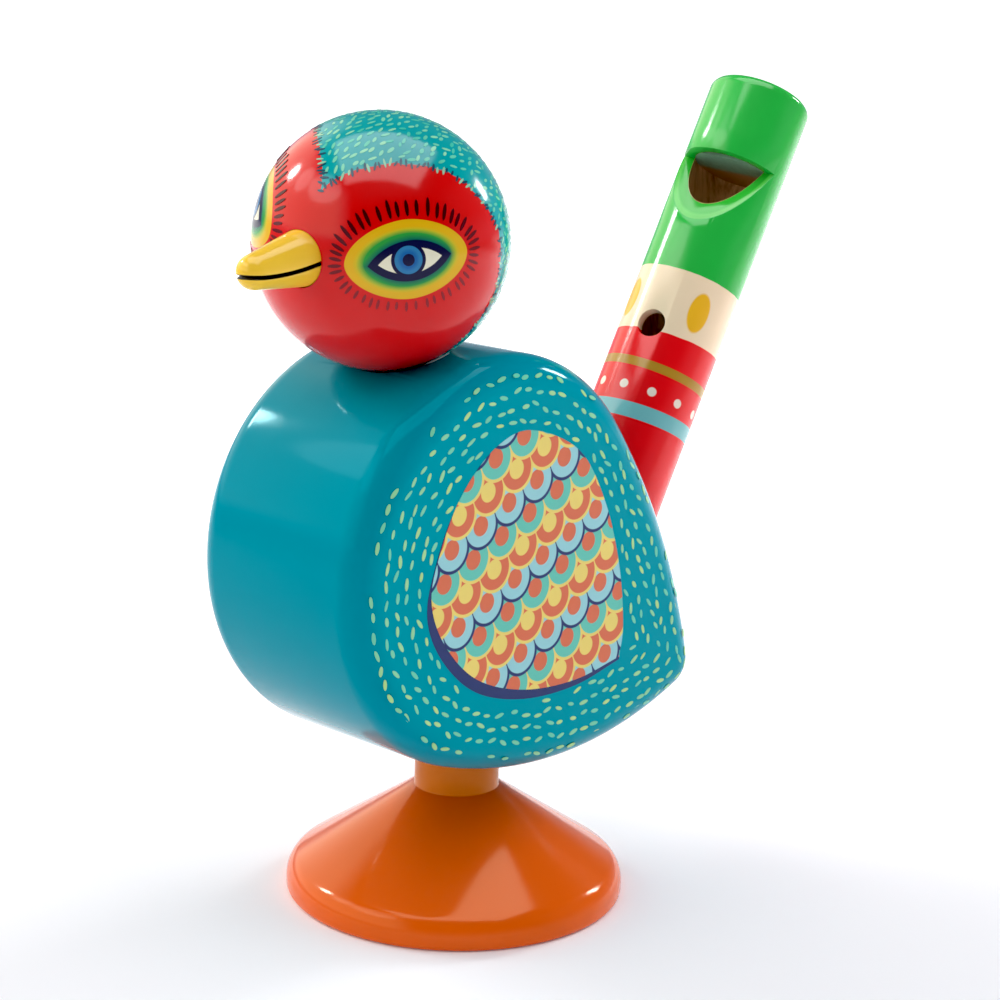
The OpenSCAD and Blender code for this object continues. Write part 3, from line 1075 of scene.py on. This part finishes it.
def whistleFinish(shape, plan):
    finish = Finish("whistleLacquer")
    x, y, s = finish.local(whistleFoot * mm, whistleSpin)
    angle = (-y).math("ARCTAN2", -x) * (180 / pi)

    def band(level, low, high):
        return level.over(low, 0.08) * level.under(high, 0.08)

    def fromMark(count, start):
        # distance round the tube to the nearest of count marks
        pitch = 360 / count
        return ((angle - start + 720 + pitch / 2) % pitch - pitch / 2) * (pi / 180 * whistleRadius)

    line = s + (finish.noise(260.0, 2.0) - 0.5) * plan["wobble"]
    swing, toHigh = plan["askew"]  # the lower borders are painted a little askew
    askew = ((angle - toHigh) * (pi / 180)).math("COSINE") * swing
    dot = hypotenuse(fromMark(plan["dots"], plan["dotTurn"]), s - plan["dotAt"])
    tall, wide = plan["ovalHalf"]
    spot = hypotenuse(fromMark(plan["ovals"], plan["ovalTurn"]) / wide, (s - plan["ovalAt"]) / tall)
    # bare wood where the bore shows
    radius = hypotenuse(x, y)
    inBore = radius.under(shape["bore"] / 2 + 0.05, 0.05) * s.under(whistlePlace["length"] - 1, 0.1)
    rampTo = whistlePlace["length"] - shape["block"] - 0.05
    onRamp = radius.under(whistleRadius - 0.12, 0.1) * band(s, plan["rampFrom"], rampTo)
    # lighter green along the ramp's outer edge: a painted highlight
    rampHighlight = radius.over(whistleRadius - plan["rampHighlight"], 0.3)
    grain = finish.noise(900.0, 3.0, 0.5, 0.12)
    return finish.lacquer(finish.layers(
        plan["redPaint"], (plan["creamPaint"], (line - askew).over(plan["red"], 0.1)),
        (plan["greenPaint"], line.over(plan["cream"], 0.1)),
        (plan["goldPaint"], band(s, *plan["gold"])),
        (plan["bluePaint"], band(s - askew, *plan["blueBand"])),
        (plan["dotPaint"], dot.under(plan["dotRadius"], 0.15)),
        (plan["yellowPaint"], spot.under(1, 0.12)),
        (finish.mix(plan["rampPaint"], plan["rampHighlightPaint"], rampHighlight), onRamp),
        (finish.mix(plan["bareWood"], plan["darkGrain"], grain.over(0.55, 0.3)), inBore)), tubeGloss)


def makeWhistle(shape, plan):
    length = whistlePlace["length"]
    bore = shape["bore"] / 2
    boreEnd = length - shape["boreLength"]
    rounding = shape["mouthRound"]
    profile = [(0, 0), (whistleRadius - shape["footRound"], 0), (whistleRadius, shape["footRound"])]
    profile += [(whistleRadius, height) for height in (20, 40, 60, 80, 100)]
    rim = arc((whistleRadius - rounding, length - rounding), rounding, 0, 90, 14)
    profile += [p for p in rim if p[0] > bore + 0.1]
    profile += [(bore + 0.05, length - 0.12), (bore, length - 0.3), (bore, boreEnd), (0, boreEnd)]
    material = whistleFinish(shape, plan)
    piece = turned("whistleTube", profile, material, 192)
    blockAt = length - shape["block"]
    notchEnd = blockAt - shape["notch"]
    out = 5.0  # mm that the cutter stands out of the tube
    slope = shape["notchDepth"] / shape["notch"]
    wedge = [(whistleRadius - shape["notchDepth"], blockAt), (whistleRadius + out, blockAt),
             (whistleRadius + out, notchEnd - out / slope), (whistleRadius + out * slope, notchEnd - out)]
    carve(piece, [loft("cutter", [[(r, y, h) for r, h in wedge] for y in (-15, 15)]),
                  rodCutter((0, 0, length - shape["fingerAt"]), (1, 0, 0), shape["finger"], 15, 64)])
    edge = piece.modifiers.new("edge", "BEVEL")
    edge.width = shape["edge"] * mm
    edge.segments = 2
    edge.limit_method = "ANGLE"
    edge.angle_limit = radians(35)
    settle(piece)
    piece.data.transform(whistleFrame @ Matrix.Rotation(radians(180 + shape["turned"]), 4, "Z"))
    return dress(piece, material)


whistle = makeWhistle(whistleShape, whistlePaint)
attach(whistle, "tail")
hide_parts("whistle_tube")
print("whistle bored")


# plain wooden pieces keep their own solids

woods = {
    "dowel": {"light": srgb(214, 176, 128), "dark": srgb(170, 124, 80), "scale": 700.0},
    "block": {"light": srgb(150, 190, 160), "dark": srgb(110, 150, 122), "scale": 900.0,
              "back": srgb(188, 144, 104), "washFrom": -1.0, "washUpTo": 98},  # mm, ahead and up
}


def woodFinish(name, wood):
    finish = Finish(name)
    grain = finish.noise(wood["scale"], 5.0, 0.65, 0.15)
    color = finish.mix(wood["light"], wood["dark"], grain)
    if "washFrom" in wood:
        # the green wash reaches only so far behind the windway
        across, deep, s = finish.local(whistleFoot * mm, whistleSpin)
        toWindow, _ = spun(across, deep, 180 + whistleShape["turned"])
        washed = toWindow.over(wood["washFrom"], 1.6) * s.under(wood["washUpTo"], 1.0)
        color = finish.mix(wood["back"], color, washed)
    return finish.done({"Base Color": color, "Roughness": grain * 0.2 + 0.5,
                        "Normal": finish.bump(0.3, 0.1, grain)})


dowelWood = woodFinish("dowelWood", woods["dowel"])
blockWood = woodFinish("blockWood", woods["block"])
for node, material in (("foot_dowel", dowelWood), ("neck_dowel", dowelWood), ("fipple_block", blockWood)):
    paint(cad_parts[node], material)
print("plain woods done")


# studio

studio = {
    "floorPaper": srgb(240, 240, 245), "floorSize": 80.0, "black": 0.010,
    "glowNear": 0.05, "glowFar": 0.8,  # the backdrop's light on the paper near the bird and behind it
    "glowFrom": -0.03, "glowReach": 0.40, "glowNarrow": 0.5,  # m, measured away from the camera
    "horizon": 0.45, "overhead": 0.15, "cool": (0.86, 0.95, 1.12, 1),  # the room low down and above
    # the wall on the left: its azimuth, brightness and tint, and how high it starts and ends
    "wall": (125, 1.65), "warm": (1.0, 0.94, 0.80, 1), "wallUp": (0.12, 0.72), "wallWide": 0.4,
    # lamps: azimuth and height in degrees, distance in m, size in m, brightness, shape, what they light
    "lamps": {
        "leftGleam": (108, 33, 0.90, (0.11, 0.13), 45.0, "ELLIPSE", "gloss"),
        "leftGlow": (128, 38, 0.95, (0.24, 0.26), 2.2, "ELLIPSE", "gloss"),
        "leftScreen": (158, 42, 1.00, (0.55, 0.36), 2.2, "ELLIPSE", "gloss"),
        "leftUmbrella": (108, 36, 0.90, (0.34, 0.34), 9.0, "ELLIPSE", "paint"),
        "rightGleam": (-12, 25, 0.90, (0.09, 0.15), 38.0, "RECTANGLE", "gloss"),
        "rightLamp": (-7, 24, 0.90, (0.20, 0.24), 23.0, "RECTANGLE", "paint"),
        "topGleam": (-137, 87, 0.90, (1.00, 0.90), 3.6, "RECTANGLE", "gloss"),
        "topBox": (-125, 78, 1.00, (1.20, 1.20), 1.25, "RECTANGLE", "paint"),
        "rightScreen": (-47, 20, 1.20, (0.90, 0.90), 1.65, "RECTANGLE", "paint"),
    },
}


def aimedLamp(name, azimuth, height, distance, size, brightness, shape, lights):
    data = bpy.data.lights.new(name, "AREA")
    data.shape = shape
    data.size, data.size_y = size
    area = size[0] * size[1] * (pi / 4 if shape == "ELLIPSE" else 1)
    data.energy = brightness * pi * area
    lamp = newObject(name, data)
    way = direction(azimuth, height)
    lamp.matrix_world = standing(Vector(cameraPlace["aim"]) * mm + way * distance, way)
    lamp.visible_glossy = lights == "gloss"
    lamp.visible_diffuse = lights == "paint"


def makeFloor(plan):
    shape = bmesh.new()
    bmesh.ops.create_grid(shape, x_segments=1, y_segments=1, size=plan["floorSize"] / 2)
    finish = Finish("floorPaper")
    # the paper itself glows as painted light: dim and a touch blue near the bird, full behind it
    x, y, _ = finish.place().parts()
    behind = toward(cameraPlace["azimuth"] + 90)
    aside = x * behind[1] - y * behind[0]
    far = x * behind[0] + y * behind[1] - abs(aside) * plan["glowNarrow"]
    glow = ((far - plan["glowFrom"]) / plan["glowReach"]).math("ADD", 0, clamp=True)
    low = plan["glowNear"] / plan["glowFar"]
    floor = fromShape("floor", shape, finish.done({
        "Base Color": plan["floorPaper"], "Roughness": 0.6, "Specular IOR Level": 0.2,
        "Emission Color": finish.mix((low, low, low * 1.04, 1), (1, 1, 1, 1), glow),
        "Emission Strength": plan["glowFar"]}))


def makeRoom(plan):
    # a room that is pale low down, dim overhead and lit by a warm wall on the left
    world = bpy.data.worlds.new("studio")
    bpy.context.scene.world = world
    world.use_nodes = True
    graph = Graph(world.node_tree)
    x, y, z = graph.node("ShaderNodeTexCoord", output=0).parts()
    azimuth, brightness = plan["wall"]
    facing = toward(azimuth)
    bottom, top = plan["wallUp"]
    wall = ((x * facing[0] + y * facing[1]).over(plan["wallWide"], 0.2)
            * z.over(bottom, 0.1) * z.under(top, 0.12))
    level = z.under(0.2, 0.2) * (plan["horizon"] - plan["overhead"]) + plan["overhead"] + wall * brightness
    tint = graph.mix(plan["cool"], plan["warm"], wall)
    sky = graph.node("ShaderNodeBackground", {"Color": tint, "Strength": level})
    graph.node("ShaderNodeOutputWorld", {0: sky})


makeFloor(studio)
makeRoom(studio)
for name, lamp in studio["lamps"].items():
    aimedLamp(name, *lamp)
view = bpy.context.scene.view_settings
view.view_transform = "Standard"
view.use_curve_mapping = True  # deeper blacks, as the photographer printed it
view.curve_mapping.black_level = (studio["black"],) * 3
print("studio lit")
